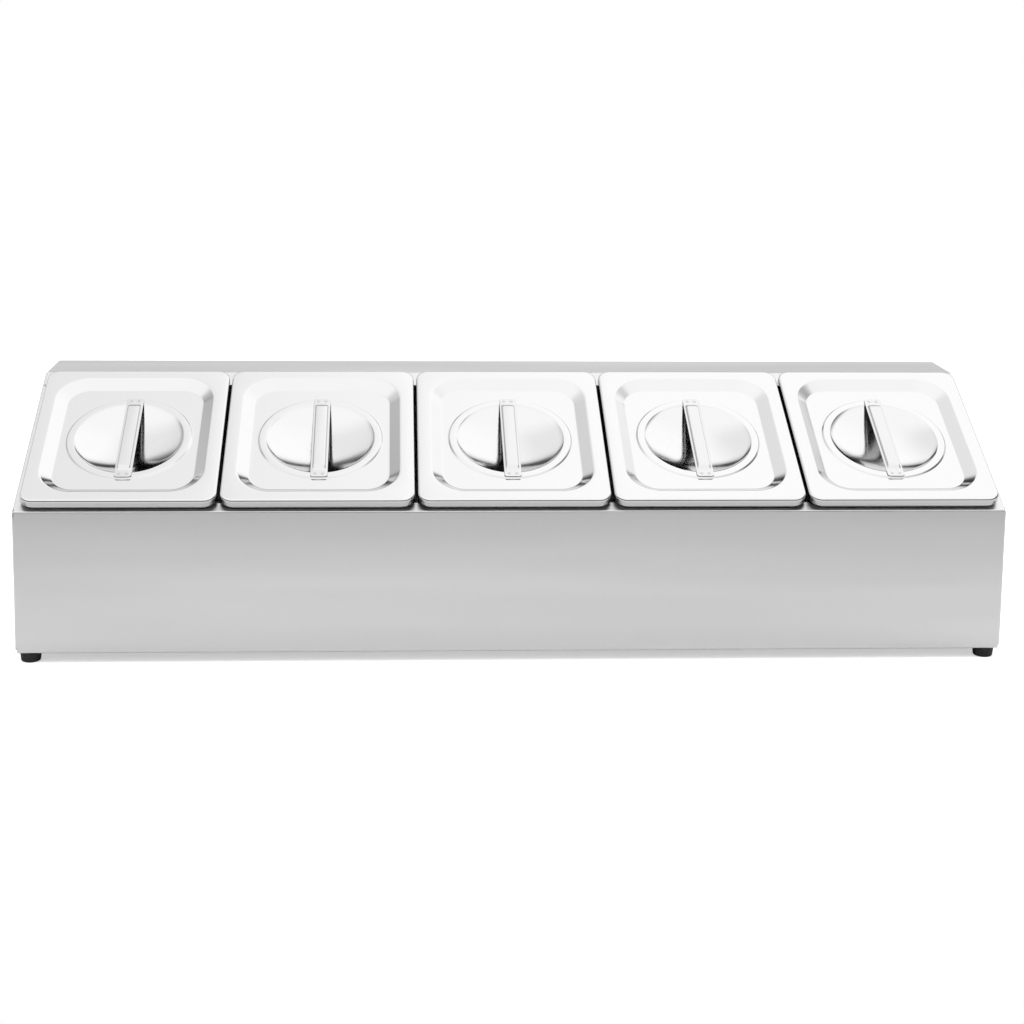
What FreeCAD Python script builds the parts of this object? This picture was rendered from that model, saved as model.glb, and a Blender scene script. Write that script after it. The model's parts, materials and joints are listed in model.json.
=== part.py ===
import FreeCAD, Part
import math
import os

# Counter-top holder for a row of one-sixth gastronorm pans with loose lids.
# Millimetres, +Z up, X along the row, the front faces -Y.
# The origin is on the counter, under the middle of the whole object.

# Row of pans: one-sixth size, the long side runs up the slope
pan_count = 5
pan_width = 162.0
pan_length = 176.0
pan_depth = 100.0
pan_gap = 1.0
pan_wall = 0.8
pan_corner = 13.0
rim_height = 3.0
rim_width = 11.5
rim_bend = 1.2
mouth_corner = 27.0
mouth_radius = 2.5
pan_draft = 4.0
pan_floor_radius = 11.0

# Lids: the skirt's lower edge is turned in to rest on the pan's rim
lid_inset = 0.2
lid_wall = 0.8
lid_corner = 11.0
lid_skirt = 7.0
lid_bend = 1.4
lid_hem = 3.2
hem_edge = 0.5
lid_border = 11.9
recess_depth = 6.6
recess_run = 9.5
recess_corner = 29.0
recess_brow = 3.0
recess_foot = 1.6
ring_outer = 107.0
ring_width = 8.5
ring_height = 1.2
ring_flank = 1.4
dish_depth = 9.6

# Lid handles: a pressed strip with a raised crown, welded across the dish
handle_setback = 1.2
handle_width = 14.5
handle_corner = 2.5
handle_wall = 1.0
handle_rise = 2.2
handle_crown = 9.2
handle_flank = 1.2
handle_tab = 8.0
handle_ramp = 5.0

# Holder: bent stainless sheet
sheet = 1.0
bend_radius = 0.6
front_height = 120.0
slope_angle = 27.3
slope_length = 188.0
ledge_depth = 63.0
end_margin = 5.0
front_setback = 2.0
rim_support = 8.5
bottom_flange = 24.0
end_flange = 13.0
corner_relief = 4.0
seam_setback = 1.8

# Feet and their screws
foot_height = 9.0
foot_diameter = 18.0
foot_taper = 1.0
foot_edge = 1.6
foot_inset = 11.0
foot_seat = 4.5
screw_diameter = 4.0
screw_head_diameter = 7.5
screw_head_height = 2.5
screw_head_round = 1.5
screw_tail = 1.5
screw_clearance = 0.25
thread_clearance = 0.05
head_clearance = 1.0
washer_diameter = 9.0
washer_thickness = 0.8
nut_width = 7.0
nut_height = 3.2

# Sizes that follow from those above
outer_bend = bend_radius + sheet
pitch = pan_width + pan_gap
row_width = pan_count * pitch - pan_gap
body_width = row_width + 2 * end_margin
slope = math.radians(slope_angle)
run = slope_length * math.cos(slope)
rise = slope_length * math.sin(slope)
body_depth = run + ledge_depth
lid_edge = lid_bend + lid_wall
edge_along = front_setback + lid_inset + lid_edge
edge_height = rim_height + lid_skirt - lid_edge
lid_overhang = edge_height * math.sin(slope) - edge_along * math.cos(slope) + lid_edge
y_front = (lid_overhang - body_depth) / 2
y_back = y_front + body_depth
y_ledge = y_front + run
z_bottom = foot_height
z_front = z_bottom + front_height
z_top = z_front + rise
pan_middle = front_setback + pan_length / 2
lid_width = pan_width - 2 * lid_inset
lid_length = pan_length - 2 * lid_inset
panel_level = lid_skirt - recess_depth
dish_diameter = ring_outer - 2 * ring_width
handle_length = ring_outer - 2 * handle_setback
washer_seat = z_bottom + 2 * sheet
nut_seat = washer_seat + washer_thickness
screw_end = nut_seat + nut_height + screw_tail


def vec(x, y, z):
    return FreeCAD.Vector(x, y, z)


def unit(vector):
    return FreeCAD.Vector(vector).normalize()


def on_slope(shape, x, along, height):
    """Move a shape from its own flat frame to a place on the slope."""
    turn = FreeCAD.Rotation(vec(1, 0, 0), slope_angle)
    lift = turn.multVec(vec(0, along, height))
    moved = shape.copy()
    moved.Placement = FreeCAD.Placement(vec(x, y_front, z_front) + lift, turn)
    return moved


def pan_x(index):
    """Middle of one pan along the row."""
    return (index - (pan_count - 1) / 2) * pitch


def cylinder(diameter, height, base):
    return Part.makeCylinder(diameter / 2, height, base, vec(0, 0, 1))


def one_solid(shape):
    return shape.removeSplitter().Solids[0]


# Bent sheet


def bend_points(before, corner, after, radius):
    """Start, middle and end of the arc that rounds a corner, and the way to its centre."""
    back = unit(before - corner)
    ahead = unit(after - corner)
    half = back.getAngle(ahead) / 2
    inward = unit(back + ahead)
    reach = radius / math.tan(half)
    middle = corner + inward * (radius / math.sin(half) - radius)
    return corner + back * reach, middle, corner + ahead * reach, inward, half


def rounded_path(points, radius):
    """Edges of an open line through the points, with each corner rounded."""
    edges = []
    start = points[0]
    for before, corner, after in zip(points, points[1:], points[2:]):
        arc_start, middle, arc_end, _, _ = bend_points(before, corner, after, radius)
        edges.append(Part.makeLine(start, arc_start))
        edges.append(Part.Arc(arc_start, middle, arc_end).toShape())
        start = arc_end
    edges.append(Part.makeLine(start, points[-1]))
    return edges


def inner_points(points):
    """The corners of a sheet's inner face, one thickness inside its outer face."""
    inner = []
    for before, corner, after in zip(points, points[1:], points[2:]):
        _, _, _, inward, half = bend_points(before, corner, after, outer_bend)
        inner.append(corner + inward * (sheet / math.sin(half)))
    first_way = unit(points[1] - points[0])
    last_way = unit(points[-2] - points[-1])
    first = points[0] + square_part(inner[0] - points[1], first_way)
    last = points[-1] + square_part(inner[-1] - points[-2], last_way)
    return [first] + inner + [last]


def square_part(vector, way):
    """The part of a vector that is square to a direction."""
    return vector - way * vector.dot(way)


def bent_sheet(points, sweep):
    """A sheet folded along the outer corner points, swept to its full length."""
    outer = rounded_path(points, outer_bend)
    inside = inner_points(points)
    inner = rounded_path(inside, bend_radius)
    caps = [Part.makeLine(points[0], inside[0]), Part.makeLine(points[-1], inside[-1])]
    wire = Part.Wire(Part.__sortEdges__(outer + inner + caps))
    return Part.Face(wire).extrude(sweep)


def foot_places():
    """Middles of the four feet: front left, front right, rear left, rear right."""
    reach = body_width / 2 - foot_inset
    rows = (y_front + foot_inset, y_back - foot_inset)
    return [(side * reach, y) for y in rows for side in (-1, 1)]


def drill_feet(shape):
    """Clearance holes for the foot screws, from the counter up through both flanges."""
    diameter = screw_diameter + 2 * screw_clearance
    for x, y in foot_places():
        shape = shape.cut(cylinder(diameter, nut_seat, vec(x, y, 0)))
    return shape


# Front panel: bottom flange, front wall and the sloped lip that carries the front rims

panel_left = -body_width / 2 + seam_setback
panel_sweep = vec(body_width - 2 * seam_setback, 0, 0)


def front_panel():
    lip = front_setback + rim_support
    points = [
        vec(panel_left, y_front + bottom_flange, z_bottom),
        vec(panel_left, y_front, z_bottom),
        vec(panel_left, y_front, z_front),
        vec(panel_left, y_front + lip * math.cos(slope), z_front + lip * math.sin(slope)),
    ]
    return one_solid(drill_feet(bent_sheet(points, panel_sweep)))


# Back panel: bottom flange, rear wall, flat ledge and the sloped lip under the rear rims


def back_panel():
    lip = slope_length - (front_setback + pan_length - rim_support)
    points = [
        vec(panel_left, y_back - bottom_flange, z_bottom),
        vec(panel_left, y_back, z_bottom),
        vec(panel_left, y_back, z_top),
        vec(panel_left, y_ledge, z_top),
        vec(panel_left, y_ledge - lip * math.cos(slope), z_top - lip * math.sin(slope)),
    ]
    return one_solid(drill_feet(bent_sheet(points, panel_sweep)))


# End panels: a five-sided plate with a flange folded in along every edge


def inset_outline(distance):
    """Corners of the holder's side outline, moved inwards by a distance."""
    corners = [
        vec(0, y_front, z_bottom),
        vec(0, y_back, z_bottom),
        vec(0, y_back, z_top),
        vec(0, y_ledge, z_top),
        vec(0, y_front, z_front),
    ]
    moved = []
    for index, corner in enumerate(corners):
        back = unit(corners[index - 1] - corner)
        ahead = unit(corners[(index + 1) % len(corners)] - corner)
        half = back.getAngle(ahead) / 2
        moved.append(corner + unit(back + ahead) * (distance / math.sin(half)))
    return moved


def end_panel():
    """The right end panel, which laps behind the front, back, ledge and lips."""
    plate_outline = inset_outline(sheet + outer_bend)
    plate = Part.Face(Part.makePolygon(plate_outline + plate_outline[:1]))
    shape = plate.extrude(vec(sheet, 0, 0))
    shape.translate(vec(body_width / 2 - sheet, 0, 0))
    corners = inset_outline(sheet)
    for index, corner in enumerate(corners):
        following = corners[(index + 1) % len(corners)]
        along = unit(following - corner)
        inward = vec(0, -along.z, along.y)
        start = corner + along * corner_relief + vec(body_width / 2, 0, 0)
        length = (following - corner).Length - 2 * corner_relief
        width = bottom_flange if index == 0 else end_flange
        points = [start + inward * (2 * outer_bend), start, start - vec(width, 0, 0)]
        shape = shape.fuse(bent_sheet(points, along * length))
    return one_solid(drill_feet(shape))


# Feet: tapered rubber discs, each held by a screw from below


def foot():
    top = foot_diameter / 2
    bottom = top - foot_taper
    bore = screw_diameter / 2 + screw_clearance
    well = screw_head_diameter / 2 + head_clearance
    lean = unit(vec(foot_taper, 0, foot_height))
    corner = vec(bottom, 0, 0)
    arc_start, middle, arc_end, _, _ = bend_points(vec(0, 0, 0), corner, corner + lean, foot_edge)
    edges = [
        Part.makeLine(vec(well, 0, 0), arc_start),
        Part.Arc(arc_start, middle, arc_end).toShape(),
        Part.makeLine(arc_end, vec(top, 0, foot_height)),
        Part.makeLine(vec(top, 0, foot_height), vec(bore, 0, foot_height)),
        Part.makeLine(vec(bore, 0, foot_height), vec(bore, 0, foot_seat)),
        Part.makeLine(vec(bore, 0, foot_seat), vec(well, 0, foot_seat)),
        Part.makeLine(vec(well, 0, foot_seat), vec(well, 0, 0)),
    ]
    return Part.Face(Part.Wire(edges)).revolve(vec(0, 0, 0), vec(0, 0, 1), 360)


def foot_screw():
    """Pan-head screw: a rounded head in the foot's well and a plain shank."""
    shank = screw_diameter / 2
    pole = vec(0, 0, foot_seat - screw_head_height)
    corner = pole + vec(screw_head_diameter / 2, 0, 0)
    seat = vec(corner.x, 0, foot_seat)
    arc_start, middle, arc_end, _, _ = bend_points(pole, corner, seat, screw_head_round)
    edges = [
        Part.makeLine(pole, arc_start),
        Part.Arc(arc_start, middle, arc_end).toShape(),
        Part.makeLine(arc_end, seat),
        Part.makeLine(seat, vec(shank, 0, foot_seat)),
        Part.makeLine(vec(shank, 0, foot_seat), vec(shank, 0, screw_end)),
        Part.makeLine(vec(shank, 0, screw_end), vec(0, 0, screw_end)),
        Part.makeLine(vec(0, 0, screw_end), pole),
    ]
    return Part.Face(Part.Wire(edges)).revolve(vec(0, 0, 0), vec(0, 0, 1), 360)


def foot_washer():
    base = vec(0, 0, washer_seat)
    bore = cylinder(screw_diameter + 2 * screw_clearance, washer_thickness, base)
    return cylinder(washer_diameter, washer_thickness, base).cut(bore)


def foot_nut():
    base = vec(0, 0, nut_seat)
    reach = nut_width / 2 / math.cos(math.pi / 6)
    corners = [
        base + vec(reach * math.cos(k * math.pi / 3), reach * math.sin(k * math.pi / 3), 0)
        for k in range(7)
    ]
    hexagon = Part.Face(Part.makePolygon(corners)).extrude(vec(0, 0, nut_height))
    return hexagon.cut(cylinder(screw_diameter + 2 * thread_clearance, nut_height, base))


def at_feet(shape):
    """One copy of a shape at each foot, as a group of separate solids."""
    copies = []
    for x, y in foot_places():
        copy = shape.copy()
        copy.translate(vec(x, y, 0))
        copies.append(copy)
    return copies


# Rounded rectangles, the outline of every pressed piece


quarter_turn = 90.0


def corner_centres(core_x, core_y):
    """Centres of the four corner arcs, and the angle at which each arc starts."""
    signs = [(1, 1), (-1, 1), (-1, -1), (1, -1)]
    return [(x * core_x, y * core_y, k * quarter_turn) for k, (x, y) in enumerate(signs)]


def rounded_outline(width, length, corner, level):
    """A closed wire of four sides and four corner arcs, centred on the origin."""
    arcs = []
    for x, y, start in corner_centres(width / 2 - corner, length / 2 - corner):
        centre = vec(x, y, level)
        arcs.append(Part.makeCircle(corner, centre, vec(0, 0, 1), start, start + quarter_turn))
    edges = []
    for arc, following in zip(arcs, arcs[1:] + arcs[:1]):
        end = arc.valueAt(arc.LastParameter)
        edges.append(arc)
        edges.append(Part.makeLine(end, following.valueAt(following.FirstParameter)))
    return Part.Wire(edges)


def slab(width, length, corner, low, high):
    outline = rounded_outline(width, length, corner, low)
    return Part.Face(outline).extrude(vec(0, 0, high - low))


def edges_within(shape, width, length, level):
    """Edges that lie wholly at one level, inside a rectangle round the middle."""
    near = 0.001
    x = width / 2 + near
    y = length / 2 + near
    zone = FreeCAD.BoundBox(-x, -y, level - near, x, y, level + near)
    return [edge for edge in shape.Edges if zone.isInside(edge.BoundBox)]


def rounded_slab(width, length, corner, low, high, edge_radius):
    """A slab whose upper edge is rounded over."""
    block = slab(width, length, corner, low, high)
    return block.makeFillet(edge_radius, edges_within(block, width, length, high))


def tapered_block(width, length, corner, shrink, high, low, foot_radius):
    """A block with flat sides and cone corners that narrows downwards to a rounded foot."""
    wide_x = width / 2
    wide_y = length / 2
    core_x = wide_x - corner
    core_y = wide_y - corner
    across = frustum(core_x, wide_y, core_x, wide_y - shrink, high, low)
    along = frustum(wide_x, core_y, wide_x - shrink, core_y, high, low)
    cones = []
    for x, y, start in corner_centres(core_x, core_y):
        cone = Part.makeCone(
            corner - shrink, corner, high - low, vec(0, 0, 0), vec(0, 0, 1), quarter_turn
        )
        cone.rotate(vec(0, 0, 0), vec(0, 0, 1), start)
        cone.translate(vec(x, y, low))
        cones.append(cone)
    block = one_solid(across.multiFuse([along] + cones))
    return block.makeFillet(foot_radius, edges_within(block, width, length, low))


def frustum(high_x, high_y, low_x, low_y, high, low):
    """A four-sided block between two rectangles, given by their half sizes."""
    signs = [(-1, -1), (1, -1), (1, 1), (-1, 1)]
    upper = [vec(x * high_x, y * high_y, high) for x, y in signs]
    lower = [vec(x * low_x, y * low_y, low) for x, y in signs]
    rings = [upper, lower]
    for k in range(4):
        n = (k + 1) % 4
        rings.append([lower[k], lower[n], upper[n], upper[k]])
    faces = [Part.Face(Part.makePolygon(ring + ring[:1])) for ring in rings]
    return Part.Solid(Part.Shell(faces))


# Pans: deep drawn, with a turned-down rim, sloping walls and a rounded floor


def turned_rim():
    """The flat rim with its edge turned down, still closed across the mouth."""
    outer = rounded_slab(
        pan_width, pan_length, pan_corner, 0, rim_height, rim_bend + pan_wall
    )
    inner_width = pan_width - 2 * pan_wall
    inner_length = pan_length - 2 * pan_wall
    inner = rounded_slab(
        inner_width, inner_length, pan_corner - pan_wall, 0, rim_height - pan_wall, rim_bend
    )
    return outer.cut(inner)


def drawn_well(gap, top, bottom, floor_radius):
    """The tapering well of a pan, shrunk on every side by a gap."""
    width = pan_width - 2 * rim_width - 2 * gap
    length = pan_length - 2 * rim_width - 2 * gap
    shrink = (top - bottom) * math.tan(math.radians(pan_draft))
    return tapered_block(width, length, mouth_corner - gap, shrink, top, bottom, floor_radius)


def pan():
    floor = rim_height - pan_depth
    mouth_width = pan_width - rim_width
    mouth_length = pan_length - rim_width
    body = drawn_well(0, rim_height - pan_wall / 2, floor, pan_floor_radius)
    shape = turned_rim().fuse(body)
    under_mouth = edges_within(shape, mouth_width, mouth_length, rim_height - pan_wall)
    shape = shape.makeFillet(mouth_radius, under_mouth)
    hollow = drawn_well(pan_wall, rim_height, floor + pan_wall, pan_floor_radius - pan_wall)
    shape = shape.cut(hollow)
    mouth = edges_within(shape, mouth_width, mouth_length, rim_height)
    return one_solid(shape.makeFillet(mouth_radius + pan_wall, mouth))


# Lids: a skirted cover with a stepped-down panel, a raised ring and a finger dish


def hemmed_cover():
    """A flat top with a skirt turned down all round and its lower edge turned in."""
    outer = rounded_slab(lid_width, lid_length, lid_corner, 0, lid_skirt, lid_edge)
    outer = outer.makeFillet(hem_edge, edges_within(outer, lid_width, lid_length, 0))
    inner_width = lid_width - 2 * lid_wall
    inner_length = lid_length - 2 * lid_wall
    inner = rounded_slab(
        inner_width, inner_length, lid_corner - lid_wall, lid_wall, lid_skirt - lid_wall, lid_bend
    )
    hem_width = lid_width - 2 * lid_hem
    hem_length = lid_length - 2 * lid_hem
    opening = slab(hem_width, hem_length, lid_corner - lid_hem, 0, lid_wall)
    return outer.cut(inner).cut(opening)


def recess_form(top, foot_radius):
    """The stepped-down part of a lid, as the space that it opens."""
    width = lid_width - 2 * lid_border
    length = lid_length - 2 * lid_border
    bottom = top - recess_depth
    return tapered_block(width, length, recess_corner, recess_run, top, bottom, foot_radius)


def ring_and_dish():
    """The raised ring and the spherical dish inside it, turned about the lid's middle."""
    outer = ring_outer / 2
    mouth = dish_diameter / 2
    crest = panel_level + ring_height
    sphere = (mouth ** 2 + dish_depth ** 2) / (2 * dish_depth)
    pole = vec(0, 0, panel_level - dish_depth)
    lines = [
        vec(outer, 0, panel_level),
        vec(outer - ring_flank, 0, crest),
        vec(mouth + ring_flank, 0, crest),
        vec(mouth, 0, panel_level),
    ]
    centre = pole + vec(0, 0, sphere)
    half_way = unit(unit(lines[-1] - centre) + unit(pole - centre))
    top = [Part.makeLine(a, b) for a, b in zip(lines, lines[1:])]
    top.append(Part.Arc(lines[-1], centre + half_way * sphere, pole).toShape())
    drop = vec(0, 0, -lid_wall)
    under = [line.translated(drop) for line in top]
    sides = [Part.makeLine(lines[0], lines[0] + drop), Part.makeLine(pole, pole + drop)]
    wire = Part.Wire(Part.__sortEdges__(top + under + sides))
    return Part.Face(wire).revolve(vec(0, 0, 0), vec(0, 0, 1), 360)


def lid():
    shape = hemmed_cover().fuse(recess_form(lid_skirt - lid_wall, recess_foot + lid_wall))
    shape = shape.cut(recess_form(lid_skirt, recess_foot))
    brow_width = lid_width - lid_border
    brow_length = lid_length - lid_border
    brow = edges_within(shape, brow_width, brow_length, lid_skirt)
    shape = shape.makeFillet(recess_brow, brow)
    under_brow = edges_within(shape, brow_width, brow_length, lid_skirt - lid_wall)
    shape = shape.makeFillet(recess_brow - lid_wall, under_brow)
    hole = cylinder(ring_outer, lid_wall, vec(0, 0, panel_level - lid_wall))
    return one_solid(shape.cut(hole).fuse(ring_and_dish()))


# Handles: flat tabs at both ends, ramps and a raised crown between them


def crown_form(top):
    """The raised crown of a handle, as a block with sloping sides and ramped ends."""
    base_x = handle_crown / 2 + handle_flank
    base_y = handle_length / 2 - handle_tab
    return frustum(
        handle_crown / 2, base_y - handle_ramp, base_x, base_y, top, top - handle_rise
    )


def lid_handle():
    strip = slab(handle_width, handle_length, handle_corner, 0, handle_wall)
    shape = strip.fuse(crown_form(handle_wall + handle_rise))
    return one_solid(shape.cut(crown_form(handle_rise)))


# Every piece in its place

lid_level = rim_height
handle_level = lid_level + panel_level + ring_height

parts = {}
parts["front_panel"] = front_panel()
parts["back_panel"] = back_panel()
parts["right_end_panel"] = end_panel()
parts["left_end_panel"] = parts["right_end_panel"].mirror(vec(0, 0, 0), vec(1, 0, 0))

foot_names = ["foot_front_left", "foot_front_right", "foot_rear_left", "foot_rear_right"]
for name, solid in zip(foot_names, at_feet(foot())):
    parts[name] = solid
parts["foot_screws"] = Part.makeCompound(at_feet(foot_screw()))
parts["foot_washers"] = Part.makeCompound(at_feet(foot_washer()))
parts["foot_nuts"] = Part.makeCompound(at_feet(foot_nut()))

pan_shape = pan()
lid_shape = lid()
handle_shape = lid_handle()
for index in range(pan_count):
    number = index + 1
    x = pan_x(index)
    parts["pan_%d" % number] = on_slope(pan_shape, x, pan_middle, 0)
    parts["lid_%d" % number] = on_slope(lid_shape, x, pan_middle, lid_level)
    parts["lid_handle_%d" % number] = on_slope(handle_shape, x, pan_middle, handle_level)

os.makedirs("parts", exist_ok=True)
for name, shape in parts.items():
    shape.exportStep("parts/%s.step" % name)
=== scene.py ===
import json
import math

import bmesh
import bpy
from mathutils import Matrix, Vector


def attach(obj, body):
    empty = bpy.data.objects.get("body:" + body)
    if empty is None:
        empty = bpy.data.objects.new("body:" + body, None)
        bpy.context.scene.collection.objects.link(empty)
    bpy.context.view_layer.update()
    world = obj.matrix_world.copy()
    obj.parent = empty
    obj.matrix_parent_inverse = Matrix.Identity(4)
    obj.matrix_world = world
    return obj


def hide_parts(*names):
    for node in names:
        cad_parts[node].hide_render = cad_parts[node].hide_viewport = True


# Counter-top holder for five one-sixth gastronorm pans with loose pressed lids.
# Piece sizes are in millimetres, meshes are in metres, the front faces -Y.
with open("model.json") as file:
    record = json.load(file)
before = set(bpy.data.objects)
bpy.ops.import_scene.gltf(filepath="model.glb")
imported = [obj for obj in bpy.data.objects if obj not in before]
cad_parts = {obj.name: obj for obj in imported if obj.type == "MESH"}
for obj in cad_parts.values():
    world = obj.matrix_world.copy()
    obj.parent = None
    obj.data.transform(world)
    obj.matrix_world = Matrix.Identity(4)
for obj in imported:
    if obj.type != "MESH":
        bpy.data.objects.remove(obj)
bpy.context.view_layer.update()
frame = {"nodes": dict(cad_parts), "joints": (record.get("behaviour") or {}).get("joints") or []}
nodes = frame["nodes"]
mm = 0.001


# Front and back panels: 1 mm stainless sheet, each folded from one piece on a press brake.
# The front has the upright wall and a lip under the pan rims, the back has the flat ledge.
# Both were belt-ground along their length before folding, so light spreads across the grain.
sheet_grain = (90.0, 0.55, 0.55)
sheet_drift = (400.0, 24.0, 24.0)
sheet_colour, sheet_roughness, sheet_relief = "#CCCCCC", 0.36, 0.02
roughness_drift = 0.04
noise_low, noise_high = 0.3, 0.7


def linear(hex_colour):
    """An sRGB hex colour as linear red, green, blue and alpha."""
    values = [int(hex_colour[k:k + 2], 16) / 255 for k in (1, 3, 5)]
    curve = [v / 12.92 if v <= 0.04045 else ((v + 0.055) / 1.055) ** 2.4 for v in values]
    return (*curve, 1.0)


def add_node(tree, kind, inputs=None, **settings):
    """A node with its settings, and its inputs linked to sockets or set to values."""
    node = tree.nodes.new(kind)
    for name, value in settings.items():
        setattr(node, name, value)
    for name, value in (inputs or {}).items():
        if isinstance(value, bpy.types.NodeSocket):
            tree.links.new(value, node.inputs[name])
        else:
            node.inputs[name].default_value = value
    return node


def new_material(name):
    """An empty material, its node tree and its shader."""
    material = bpy.data.materials.new(name)
    material.use_nodes = True
    tree = material.node_tree
    return material, tree, tree.nodes["Principled BSDF"]


def pattern(tree, size, detail=2.0):
    """Noise on the piece's own coordinates, with features of a size in mm along X, Y and Z."""
    place = add_node(tree, "ShaderNodeTexCoord").outputs["Object"]
    scale = [1 / (length * mm) for length in size]
    fitted = add_node(tree, "ShaderNodeMapping", {"Vector": place, "Scale": scale})
    wanted = {"Vector": fitted.outputs["Vector"], "Scale": 1.0, "Detail": detail}
    return add_node(tree, "ShaderNodeTexNoise", wanted).outputs["Fac"]


def spread(tree, value, low, high):
    """Noise, which keeps near its middle, spread over a range of values."""
    wanted = {
        "Value": value, "From Min": noise_low, "From Max": noise_high, "To Min": low, "To Max": high
    }
    return add_node(tree, "ShaderNodeMapRange", wanted).outputs["Result"]


def satin_stainless(name, colour, grain, drift, roughness, relief):
    """Ground stainless steel: fine streaks of relief, and gloss that drifts along the sheet.

    The grit leaves lines about 0.1 mm wide, drawn wider here so that they show.
    """
    material, tree, shader = new_material(name)
    streaks = pattern(tree, grain, detail=3.0)
    cloud = pattern(tree, drift)
    gloss = spread(tree, cloud, roughness - roughness_drift, roughness + roughness_drift)
    wanted = {"Height": streaks, "Strength": 1.0, "Distance": relief * mm}
    bump = add_node(tree, "ShaderNodeBump", wanted)
    shader.inputs["Base Color"].default_value = linear(colour)
    shader.inputs["Metallic"].default_value = 1.0
    tree.links.new(gloss, shader.inputs["Roughness"])
    tree.links.new(bump.outputs["Normal"], shader.inputs["Normal"])
    return material


def finish_node(node, material):
    """Give a solid that is shown as it is its material."""
    mesh = nodes[node].data
    mesh.materials.clear()
    mesh.materials.append(material)


panel_steel = satin_stainless(
    "satin_stainless_sheet", sheet_colour, sheet_grain, sheet_drift, sheet_roughness, sheet_relief
)
for panel in ("front_panel", "back_panel"):
    finish_node(panel, panel_steel)


# End panels: five-sided stainless plates with a flange folded in along every edge.
# They lap behind the front and back panels and are spot-welded to them, ground front to back.
end_grain = (0.55, 90.0, 0.55)
end_drift = (24.0, 300.0, 24.0)
end_steel = satin_stainless(
    "satin_stainless_end_plate", sheet_colour, end_grain, end_drift, sheet_roughness, sheet_relief
)
for panel in ("left_end_panel", "right_end_panel"):
    finish_node(panel, end_steel)


# Feet: four moulded black rubber discs, tapered a little, with a well for the screw.
# The mould leaves a dull, faintly grainy skin that catches a soft grey sheen on its edge.
rubber_grain, rubber_relief = (1.2, 1.2, 1.2), 0.06
rubber_colour, rubber_roughness, rubber_sheen = "#18181A", (0.5, 0.68), 0.35
rubber, rubber_tree, rubber_shader = new_material("moulded_black_rubber")
rubber_skin = pattern(rubber_tree, rubber_grain, detail=4.0)
rubber_bump = add_node(
    rubber_tree, "ShaderNodeBump", {"Height": rubber_skin, "Distance": rubber_relief * mm}
)
rubber_tree.links.new(spread(rubber_tree, rubber_skin, *rubber_roughness), rubber_shader.inputs["Roughness"])
rubber_tree.links.new(rubber_bump.outputs["Normal"], rubber_shader.inputs["Normal"])
rubber_shader.inputs["Base Color"].default_value = linear(rubber_colour)
rubber_shader.inputs["Specular IOR Level"].default_value = rubber_sheen
for foot in ("foot_front_left", "foot_front_right", "foot_rear_left", "foot_rear_right"):
    finish_node(foot, rubber)


# Foot screws, washers and nuts: M4 steel, bright zinc plated, turned and cold formed.
# Plating is even but slightly cloudy, so the gloss wanders over each head and nut.
zinc_cloud, zinc_colour, zinc_roughness = (2.5, 2.5, 2.5), "#C9CBCB", (0.24, 0.42)
zinc, zinc_tree, zinc_shader = new_material("zinc_plated_steel")
zinc_gloss = spread(zinc_tree, pattern(zinc_tree, zinc_cloud), *zinc_roughness)
zinc_tree.links.new(zinc_gloss, zinc_shader.inputs["Roughness"])
zinc_shader.inputs["Base Color"].default_value = linear(zinc_colour)
zinc_shader.inputs["Metallic"].default_value = 1.0
for hardware in ("foot_screws", "foot_washers", "foot_nuts"):
    finish_node(hardware, zinc)


# Pans: one-sixth gastronorm, deep drawn from 0.8 mm stainless and hung in the slope by their rims.
# The rim is turned down, the walls taper and the floor is rounded; drawing leaves them satin inside.
# The rim ends just inside the lid's skirt, so a dark gap shows between the lid and the holder.
pan_count = 5
pan_width, pan_length, pan_depth = 158.0, 172.0, 100.0
pan_wall = 0.8
pan_corner, mouth_corner = 11.0, 26.2
rim_skirt, rim_edge, rim_inset = 2.1, 1.1, 10.3
mouth_radius, floor_radius = 3.3, 10.2
wall_taper = math.tan(math.radians(4.0))
corner_steps, sharp_turn = 24, math.radians(38)
pan_colour, pan_roughness, pan_relief = "#C8C8C8", 0.3, 0.006
pan_grain, pan_drift = (1.1, 1.1, 1.1), (40.0, 40.0, 40.0)

lift_axis = Vector(next(j["axis"] for j in frame["joints"] if j["name"] == "lid_1_lift"))
slope = math.atan2(-lift_axis.y, lift_axis.z)
slope_turn = Matrix.Rotation(slope, 4, "X")


def seat(node):
    """Where a piece lies on the slope: its middle, at the level of its highest face."""
    points = [slope_turn.inverted() @ vertex.co for vertex in nodes[node].data.vertices]
    low = Vector([min(p[k] for p in points) for k in range(3)])
    high = Vector([max(p[k] for p in points) for k in range(3)])
    middle = Vector(((low.x + high.x) / 2, (low.y + high.y) / 2, high.z))
    return Matrix.Translation(slope_turn @ middle) @ slope_turn


def eased(points, radii, steps=6):
    """A line through points in two directions, with each inner corner rounded by its radius."""
    path = [Vector(points[0])]
    for before, corner, after, radius in zip(points, points[1:], points[2:], radii):
        corner = Vector(corner)
        back = (Vector(before) - corner).normalized()
        ahead = (Vector(after) - corner).normalized()
        half = back.angle(ahead) / 2
        centre = corner + (back + ahead).normalized() * (radius / math.sin(half))
        start = corner + back * (radius / math.tan(half)) - centre
        end = corner + ahead * (radius / math.tan(half)) - centre
        sweep = math.pi - 2 * half
        for k in range(steps + 1):
            part = k / steps
            blend = start * math.sin((1 - part) * sweep) + end * math.sin(part * sweep)
            path.append(centre + blend / math.sin(sweep))
    path.append(Vector(points[-1]))
    return path


def between(inset, stops):
    """A value read off straight lines between stops of inset and value."""
    for (low, first), (high, last) in zip(stops, stops[1:]):
        if inset <= high:
            break
    return first + (last - first) * (inset - low) / (high - low)


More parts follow.
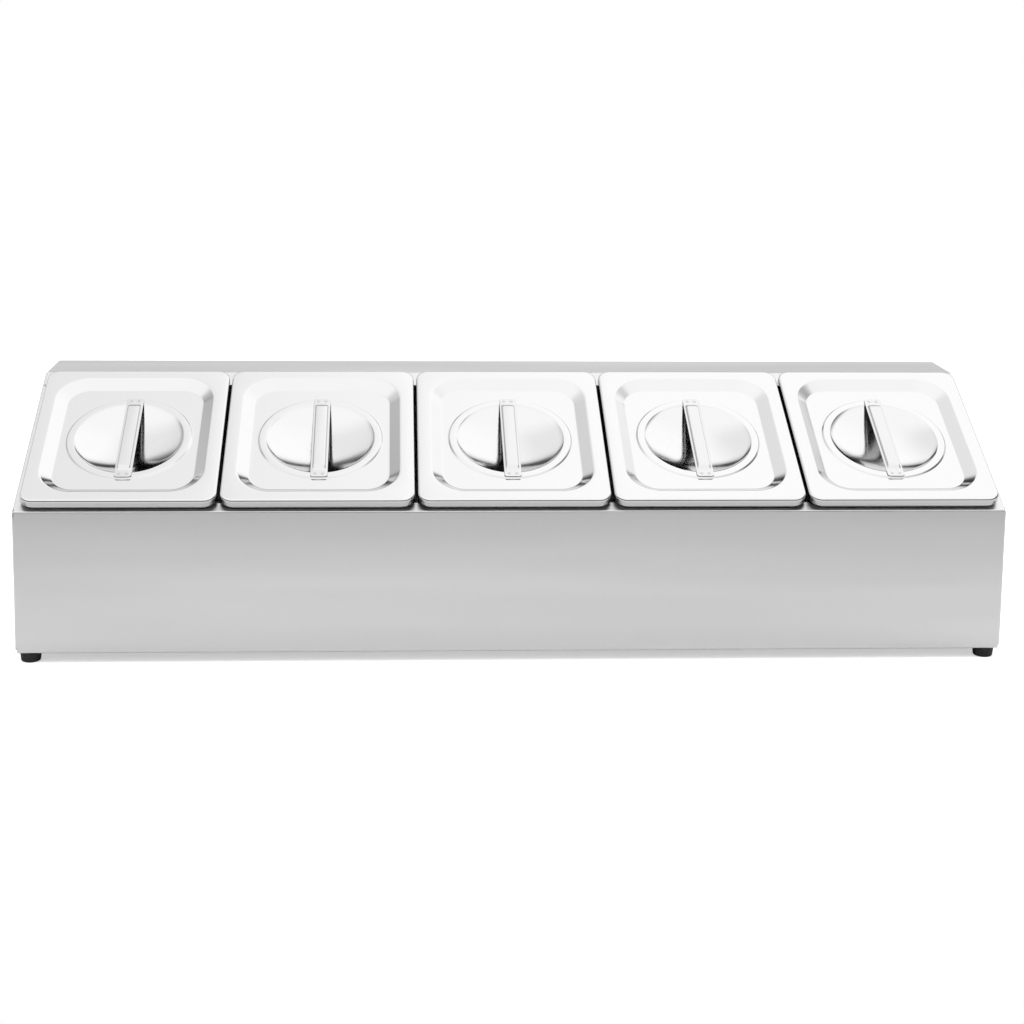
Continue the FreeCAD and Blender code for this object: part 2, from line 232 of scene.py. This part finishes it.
def rounded_ring(half_x, half_y, corner, level):
    """Points round a rectangle with rounded corners, the same number on every such ring."""
    ring = []
    for side_x, side_y, start in ((1, 1, 0), (-1, 1, 90), (-1, -1, 180), (1, -1, 270)):
        middle = Vector((side_x * (half_x - corner), side_y * (half_y - corner), level))
        for k in range(corner_steps + 1):
            angle = math.radians(start + 90 * k / corner_steps)
            ring.append(middle + corner * Vector((math.cos(angle), math.sin(angle), 0)))
    return ring


def pressed_piece(name, rings, wall, place, material):
    """Sheet pressed over a stack of rings, from its outer edge to its middle, with a wall below."""
    form = bmesh.new()
    rows = [[form.verts.new(place @ (point * mm)) for point in ring] for ring in rings]
    count = len(rows[0])
    for outer, inner in zip(rows, rows[1:]):
        for k in range(count):
            n = (k + 1) % count
            form.faces.new((outer[k], outer[n], inner[n], inner[k]))
    form.faces.new(rows[-1])
    bmesh.ops.remove_doubles(form, verts=form.verts, dist=1e-6)
    bmesh.ops.recalc_face_normals(form, faces=form.faces)
    mesh = bpy.data.meshes.new(name)
    form.to_mesh(mesh)
    form.free()
    piece = bpy.data.objects.new(name, mesh)
    bpy.context.collection.objects.link(piece)
    shell = piece.modifiers.new("wall", "SOLIDIFY")
    shell.thickness = wall * mm
    shell.offset = -1.0
    shell.use_even_offset = True
    graph = bpy.context.evaluated_depsgraph_get()
    piece.data = bpy.data.meshes.new_from_object(piece.evaluated_get(graph))
    piece.modifiers.clear()
    piece.data.shade_smooth()
    piece.data.set_sharp_from_angle(angle=sharp_turn)
    piece.data.materials.clear()
    piece.data.materials.append(material)
    return piece


pan_floor_inset = rim_inset + pan_depth * wall_taper
pan_profile = eased(
    [
        (0, -rim_skirt),
        (0, 0),
        (rim_inset, 0),
        (pan_floor_inset, pan_wall - pan_depth),
        (pan_floor_inset + 2 * floor_radius, pan_wall - pan_depth),
    ],
    (rim_edge, mouth_radius, floor_radius),
)
pan_corners = [
    (0, pan_corner),
    (rim_edge, pan_corner - rim_edge),
    (rim_inset, mouth_corner),
    (rim_inset + mouth_corner, 0),
]
pan_rings = [
    rounded_ring(pan_width / 2 - inset, pan_length / 2 - inset, between(inset, pan_corners), level)
    for inset, level in pan_profile
]
pan_steel = satin_stainless(
    "drawn_stainless_pan", pan_colour, pan_grain, pan_drift, pan_roughness, pan_relief
)
for number in range(1, pan_count + 1):
    node = "pan_%d" % number
    pan = pressed_piece("drawn_pan_%d" % number, pan_rings, pan_wall, seat(node), pan_steel)
    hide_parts(node)
    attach(pan, node)


# Lids: pressed from 0.8 mm stainless with a skirt, a stepped-down panel, a raised ring and a round
# finger dish. They are bright rolled and buffed, so they mirror the light with soft ripples.
# The skirt stops a little above the pan's rim. Its drawn side is duller than the top, and its darker colour
# is painted shade.
lid_width, lid_length = 160.8, 175.6
lid_wall = 0.8
lid_corner, lid_skirt, lid_edge = 11.0, 6.5, 2.2
lid_border, recess_depth, recess_run, recess_corner = 11.9, 6.6, 9.5, 29.0
recess_brow, recess_foot, panel_margin = 3.0, 1.6, 3.0
ring_outer, ring_width, ring_height, ring_flank, ring_radius = 53.5, 8.5, 1.2, 1.4, 0.5
dish_radius, dish_depth, dish_steps = ring_outer - ring_width, 9.6, 16
lid_colour, lid_roughness = "#CBCBCB", 0.1
lid_ripple, lid_ripple_relief, lid_haze = (46.0, 46.0, 46.0), 0.05, (18.0, 18.0, 18.0)
haze_low, haze_high = 0.025, 0.04
# The skirt's darker colour is painted shade; only its higher roughness is real.
skirt_painted_shade_colour, skirt_roughness, painted_shade_tilt = "#B4B4B4", 0.2, 0.3


def bright_stainless(name, colour, ripple, ripple_relief, haze, roughness):
    """Bright stainless steel: a mirror with long shallow ripples and a faint haze from handling."""
    material, tree, shader = new_material(name)
    waves = pattern(tree, ripple, detail=1.0)
    wanted = {"Height": waves, "Strength": 1.0, "Distance": ripple_relief * mm}
    bump = add_node(tree, "ShaderNodeBump", wanted)
    cloud = pattern(tree, haze, detail=4.0)
    gloss = spread(tree, cloud, roughness - haze_low, roughness + haze_high)
    shader.inputs["Base Color"].default_value = linear(colour)
    shader.inputs["Metallic"].default_value = 1.0
    tree.links.new(gloss, shader.inputs["Roughness"])
    tree.links.new(bump.outputs["Normal"], shader.inputs["Normal"])
    return material


foot_inset = lid_border + recess_run
lid_profile = eased(
    [
        (0, -lid_skirt),
        (0, 0),
        (lid_border, 0),
        (foot_inset, -recess_depth),
        (foot_inset + panel_margin, -recess_depth),
    ],
    (lid_edge, recess_brow, recess_foot),
)
lid_corners = [
    (0, lid_corner),
    (lid_edge, lid_corner - lid_edge),
    (lid_border, recess_corner),
    (lid_border + recess_corner, 0),
]
lid_rings = [
    rounded_ring(lid_width / 2 - inset, lid_length / 2 - inset, between(inset, lid_corners), level)
    for inset, level in lid_profile
]
ring_crest = ring_height - recess_depth
ring_profile = eased(
    [
        (ring_outer + ring_flank, -recess_depth),
        (ring_outer, -recess_depth),
        (ring_outer - ring_flank, ring_crest),
        (dish_radius + ring_flank, ring_crest),
        (dish_radius, -recess_depth),
    ],
    (ring_radius, ring_radius, ring_radius),
    steps=4,
)
sphere_radius = (dish_radius ** 2 + dish_depth ** 2) / (2 * dish_depth)
dish_reach = math.asin(dish_radius / sphere_radius)
for step in range(1, dish_steps):
    angle = dish_reach * (1 - step / dish_steps)
    drop = sphere_radius * (math.cos(angle) - math.cos(dish_reach))
    ring_profile.append(Vector((sphere_radius * math.sin(angle), -recess_depth - drop)))
lid_rings += [rounded_ring(radius, radius, radius, level) for radius, level in ring_profile]

lid_steel = bright_stainless(
    "bright_stainless_lid", lid_colour, lid_ripple, lid_ripple_relief, lid_haze, lid_roughness
)
skirt_painted_shade_steel = bright_stainless(
    "drawn_stainless_skirt_painted_shade", skirt_painted_shade_colour, lid_ripple, lid_ripple_relief, lid_haze, skirt_roughness
)
for number in range(1, pan_count + 1):
    node = "lid_%d" % number
    lid = pressed_piece("pressed_lid_%d" % number, lid_rings, lid_wall, seat(node), lid_steel)
    # Faces that stand nearly upright on the slope are the skirt, and get a darker colour as painted shade
    lid.data.materials.append(skirt_painted_shade_steel)
    for face in lid.data.polygons:
        face.material_index = int(abs(face.normal.dot(lift_axis)) < painted_shade_tilt)
    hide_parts(node)
    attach(lid, node)


# Lid handles: a 1 mm stainless strip with a pressed crown, welded across each dish by two spots
# at either end. The crown stiffens it, and its edges are tumbled smooth.
handle_length, handle_width, handle_wall = 104.6, 14.5, 1.0
handle_rise, handle_corner, handle_edge = 2.2, 2.5, 0.4
crown_half, crown_flank, crown_corner, tab_length, crown_ramp = 4.6, 1.2, 1.2, 8.0, 5.0
crown_steps = 8
handle_colour, handle_roughness = "#C6C6C6", 0.14
handle_ripple, handle_ripple_relief, handle_haze = (8.0, 60.0, 60.0), 0.03, (6.0, 30.0, 30.0)

handle_tab_level = -handle_rise
handle_rings = [
    rounded_ring(
        handle_width / 2 - inset, handle_length / 2 - inset, handle_corner - inset, handle_tab_level + level
    )
    for inset, level in eased(
        [(0, -handle_edge), (0, 0), (2 * handle_edge, 0)], (0.9 * handle_edge,), steps=4
    )
]
for step in range(crown_steps + 1):
    part = step / crown_steps
    height = handle_rise * part * part * (3 - 2 * part)
    half_x = crown_half + crown_flank * (1 - part)
    half_y = handle_length / 2 - tab_length - crown_ramp * part
    corner = crown_corner + crown_flank * (1 - part)
    handle_rings.append(rounded_ring(half_x, half_y, corner, handle_tab_level + height))

handle_steel = bright_stainless(
    "bright_stainless_handle",
    handle_colour,
    handle_ripple,
    handle_ripple_relief,
    handle_haze,
    handle_roughness,
)
for number in range(1, pan_count + 1):
    node = "lid_handle_%d" % number
    handle = pressed_piece(
        "welded_handle_%d" % number, handle_rings, handle_wall, seat(node), handle_steel
    )
    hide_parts(node)
    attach(handle, "lid_%d" % number)


# Spot welds: two on each handle tab, where the electrodes pressed the strip onto the ring.
# Each leaves a shallow round mark, a little darker and duller than the sheet round it.
weld_diameter, weld_height, weld_spacing, weld_from_end = 2.8, 0.2, 6.4, 3.6
weld_sides = 20
weld_colour, weld_roughness = "#B6B6B6", 0.3
weld_ripple, weld_ripple_relief, weld_haze = (2.0, 2.0, 2.0), 0.03, (1.5, 1.5, 1.5)

weld_steel = bright_stainless(
    "spot_weld_mark", weld_colour, weld_ripple, weld_ripple_relief, weld_haze, weld_roughness
)
welds = bpy.data.node_groups.new("spot_welds", "GeometryNodeTree")
welds.is_modifier = True
welds.interface.new_socket("Geometry", in_out="INPUT", socket_type="NodeSocketGeometry")
diameter_input = welds.interface.new_socket("Diameter", in_out="INPUT", socket_type="NodeSocketFloat")
height_input = welds.interface.new_socket("Height", in_out="INPUT", socket_type="NodeSocketFloat")
welds.interface.new_socket("Geometry", in_out="OUTPUT", socket_type="NodeSocketGeometry")
given = add_node(welds, "NodeGroupInput")
half_round = add_node(
    welds, "GeometryNodeMeshUVSphere", {"Segments": weld_sides, "Rings": weld_sides // 2, "Radius": 0.5}
)
weld_size = add_node(
    welds,
    "ShaderNodeCombineXYZ",
    {"X": given.outputs["Diameter"], "Y": given.outputs["Diameter"], "Z": given.outputs["Height"]},
)
weld_turn = add_node(welds, "FunctionNodeInputVector", vector=(slope, 0, 0))
spots = add_node(
    welds,
    "GeometryNodeInstanceOnPoints",
    {
        "Points": given.outputs["Geometry"],
        "Instance": half_round.outputs["Mesh"],
        "Rotation": weld_turn.outputs["Vector"],
        "Scale": weld_size.outputs["Vector"],
    },
)
solid_spots = add_node(welds, "GeometryNodeRealizeInstances", {"Geometry": spots.outputs["Instances"]})
finished_spots = add_node(
    welds, "GeometryNodeSetMaterial", {"Geometry": solid_spots.outputs["Geometry"], "Material": weld_steel}
)
add_node(welds, "NodeGroupOutput", {"Geometry": finished_spots.outputs["Geometry"]})

for number in range(1, pan_count + 1):
    place = seat("lid_handle_%d" % number)
    reach = handle_length / 2 - weld_from_end
    spots_at = [
        place @ (Vector((side * weld_spacing / 2, end * reach, handle_tab_level)) * mm)
        for side in (-1, 1)
        for end in (-1, 1)
    ]
    mesh = bpy.data.meshes.new("spot_welds_%d" % number)
    mesh.from_pydata(spots_at, [], [])
    marks = bpy.data.objects.new("spot_welds_%d" % number, mesh)
    bpy.context.collection.objects.link(marks)
    maker = marks.modifiers.new("welds", "NODES")
    maker.node_group = welds
    maker[diameter_input.identifier] = weld_diameter * mm
    maker[height_input.identifier] = weld_height * mm
    graph = bpy.context.evaluated_depsgraph_get()
    marks.data = bpy.data.meshes.new_from_object(marks.evaluated_get(graph))
    marks.modifiers.clear()
    marks.data.shade_smooth()
    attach(marks, "lid_%d" % number)


# Floor and light: a pale table top that keeps the holder's shadow, in a white tent. The tent is open
# low down in front, and has a dark seam between the rear wall and the bright roof. Camera rays
# see plain white behind the holder and a slightly lifted floor.
table_front, table_reach = -0.68, 6.0
floor_mesh = bpy.data.meshes.new("floor")
floor_mesh.from_pydata(
    [
        (-table_reach, table_front, 0),
        (table_reach, table_front, 0),
        (table_reach, table_reach, 0),
        (-table_reach, table_reach, 0),
    ],
    [],
    [(0, 1, 2, 3)],
)
floor = bpy.data.objects.new("floor", floor_mesh)
bpy.context.collection.objects.link(floor)

floor_lift, floor_colour, floor_roughness = 0.5, "#DCDCDC", 0.9
floor_paint, floor_tree, floor_shader = new_material("white_table_top")
floor_shader.inputs["Base Color"].default_value = linear(floor_colour)
floor_shader.inputs["Roughness"].default_value = floor_roughness
floor_shader.inputs["Specular IOR Level"].default_value = 0.0
floor_shader.inputs["Emission Color"].default_value = (1, 1, 1, 1)
seen = add_node(floor_tree, "ShaderNodeLightPath").outputs["Is Camera Ray"]
lifted = add_node(floor_tree, "ShaderNodeMath", {0: seen, 1: floor_lift}, operation="MULTIPLY")
floor_tree.links.new(lifted.outputs[0], floor_shader.inputs["Emission Strength"])
floor_mesh.materials.append(floor_paint)

tent_level, tent_lean = 1.55, 0.2
side_stops = [
    (0.0, 0.86), (0.28, 0.84), (0.35, 0.66), (0.42, 0.46), (0.47, 0.6), (0.53, 0.8), (0.64, 0.94), (0.75, 1)
]
seam_stops = [
    (0.0, 0.86), (0.28, 0.82), (0.36, 0.45), (0.42, 0.04), (0.6, 0.04), (0.65, 0.65), (0.7, 0.96), (0.78, 1)
]
front_stops = [(0.0, 0.1), (0.28, 0.12), (0.48, 0.5), (0.62, 0.95), (0.8, 1.0)]
left_turn, left_shares = (-0.22, 0.14), (0.85, 1.04)
right_turn, right_shares = (0.68, 0.85), (1.0, 0.3)
seam_turn, rear_turn = (0.6, 0.82), (-0.1, 0.3)
world = bpy.data.worlds.new("studio_tent")
world.use_nodes = True
sky = world.node_tree
way = add_node(sky, "ShaderNodeTexCoord").outputs["Generated"]
ways = add_node(sky, "ShaderNodeSeparateXYZ", {"Vector": way}).outputs
lean = add_node(sky, "ShaderNodeMath", {0: ways["X"], 1: tent_lean}, operation="MULTIPLY")
height = add_node(sky, "ShaderNodeMath", {0: ways["Z"], 1: lean.outputs[0]}, operation="ADD")


def brightness(stops, measure):
    """Brightness of the tent by height, from the horizon to straight up."""
    ramp = add_node(sky, "ShaderNodeValToRGB", {"Fac": measure})
    ramp.color_ramp.interpolation = "EASE"
    while len(ramp.color_ramp.elements) < len(stops):
        ramp.color_ramp.elements.new(0.5)
    for element, (position, value) in zip(ramp.color_ramp.elements, stops):
        element.position = position
        element.color = (value, value, value, 1)
    return ramp.outputs["Color"]


def share(value, low, high, from_value=0.0, to_value=1.0):
    """A smooth step from one value to another as a direction goes from low to high."""
    wanted = {"Value": value, "From Min": low, "From Max": high, "To Min": from_value, "To Max": to_value}
    node = add_node(sky, "ShaderNodeMapRange", wanted, interpolation_type="SMOOTHSTEP")
    return node.outputs["Result"]


def scaled(colour, amount):
    """A colour made brighter or darker."""
    wanted = {0: colour, "Scale": amount}
    return add_node(sky, "ShaderNodeVectorMath", wanted, operation="SCALE").outputs["Vector"]


def blend(part, first, last):
    """Two colours mixed by a share."""
    return add_node(sky, "ShaderNodeMix", {0: part, 6: first, 7: last}, data_type="RGBA").outputs[2]


sides = brightness(side_stops, height.outputs[0])
seam = brightness(seam_stops, height.outputs[0])
front = brightness(front_stops, ways["Z"])
left_fade = share(ways["X"], *left_turn, *left_shares)
right_fade = share(ways["X"], *right_turn, *right_shares)
rear = scaled(blend(share(ways["Y"], *seam_turn), sides, seam), left_fade)
walls = scaled(blend(share(ways["Y"], *rear_turn), front, rear), right_fade)
tent = scaled(walls, tent_level)
camera_ray = add_node(sky, "ShaderNodeLightPath").outputs["Is Camera Ray"]
shown = blend(camera_ray, tent, (1, 1, 1, 1))
sky.links.new(shown, sky.nodes["Background"].inputs["Color"])
bpy.context.scene.world = world


def softbox(name, size, energy, place, target):
    """A soft rectangular lamp for the floor, kept out of the mirror images in the steel."""
    lamp = bpy.data.lights.new(name, "AREA")
    lamp.shape = "RECTANGLE"
    lamp.size, lamp.size_y = size
    lamp.energy = energy
    holder = bpy.data.objects.new(name, lamp)
    holder.location = place
    holder.visible_glossy = False
    aim = Vector(target) - Vector(place)
    holder.rotation_euler = aim.to_track_quat("-Z", "Y").to_euler()
    bpy.context.collection.objects.link(holder)


softbox("overhead_softbox", (2.4, 1.8), 4.0, (0.5, 0.5, 1.9), (0, 0, 0.1))
softbox("front_softbox", (2.0, 1.0), 18.0, (0, -0.7, 1.6), (0, -0.22, 0))


# Camera: in front and a little to the left, looking slightly down, as the photograph was taken.
camera_place, camera_turn = (-0.10312, -1.62349, 0.51578), (81.2142, -0.5698, -2.6976)
camera_data = bpy.data.cameras.new("camera")
camera_data.sensor_width = 36.0
camera_data.lens = 66.175
camera_data.shift_x, camera_data.shift_y = 0.03, -0.18
camera = bpy.data.objects.new("camera", camera_data)
camera.location = camera_place
camera.rotation_euler = [math.radians(turn) for turn in camera_turn]
bpy.context.collection.objects.link(camera)
bpy.context.scene.camera = camera
bpy.context.scene.view_settings.view_transform = "Standard"
